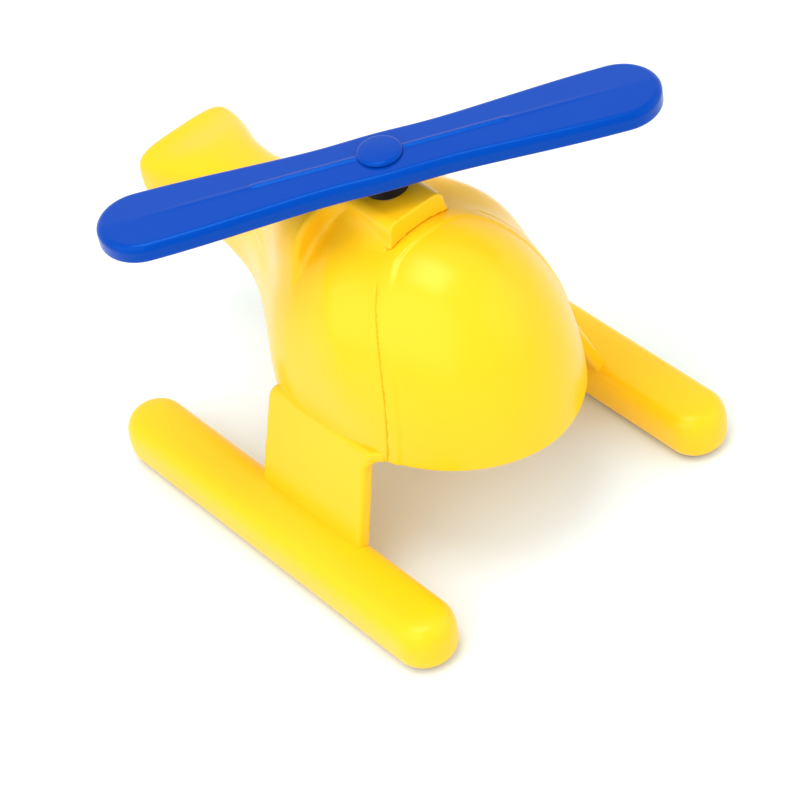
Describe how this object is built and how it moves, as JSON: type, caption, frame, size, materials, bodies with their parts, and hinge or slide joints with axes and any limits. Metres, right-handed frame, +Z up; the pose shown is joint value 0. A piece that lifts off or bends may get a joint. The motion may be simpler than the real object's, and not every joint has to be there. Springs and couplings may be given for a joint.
{
  "type": "toy helicopter",
  "caption": "Chunky moulded toy helicopter with a domed cabin, short fishtail boom, broad skids on flat struts and a free-spinning two-blade rotor.",
  "frame": {"origin": "centre of the overall box in plan, on the surface the two skids stand on", "axes": "+Z up along the rotor's axis, nose towards -Y, tail towards +Y, the toy's left side on +X"},
  "size_m": [0.1214, 0.1438, 0.1016],
  "materials": {
    "body_yellow": "smooth moulded gloss, bright warm yellow",
    "rotor_blue": "smooth moulded gloss, strong blue",
    "bush_black": "satin black moulding",
    "sleeve_white": "natural off-white low-friction plastic",
    "fastener_steel": "bright zinc-plated steel"
  },
  "bodies": {
    "airframe": {"fuselage_shell": "body_yellow", "canopy_shell": "body_yellow", "belly_plate": "body_yellow", "strut_left": "body_yellow", "skid_left": "body_yellow", "skid_sole_left": "body_yellow", "strut_right": "body_yellow", "skid_right": "body_yellow", "skid_sole_right": "body_yellow", "rotor_bush": "bush_black", "axle_bearing": "sleeve_white", "axle_washer": "fastener_steel", "canopy_screw_left": "fastener_steel", "canopy_screw_right": "fastener_steel", "strut_screw_left_front": "fastener_steel", "strut_screw_left_rear": "fastener_steel", "strut_screw_right_front": "fastener_steel", "strut_screw_right_rear": "fastener_steel"},
    "rotor": {"rotor_blade": "rotor_blue", "rotor_hub_cap": "rotor_blue", "rotor_axle": "fastener_steel", "axle_retainer": "fastener_steel"}
  },
  "joints": [
    {"name": "rotor_spin", "type": "hinge", "parent": "airframe", "child": "rotor", "pos_m": [0, -0.01765, 0.0952], "axis": [0, 0, 1], "continuous": true}
  ]
}
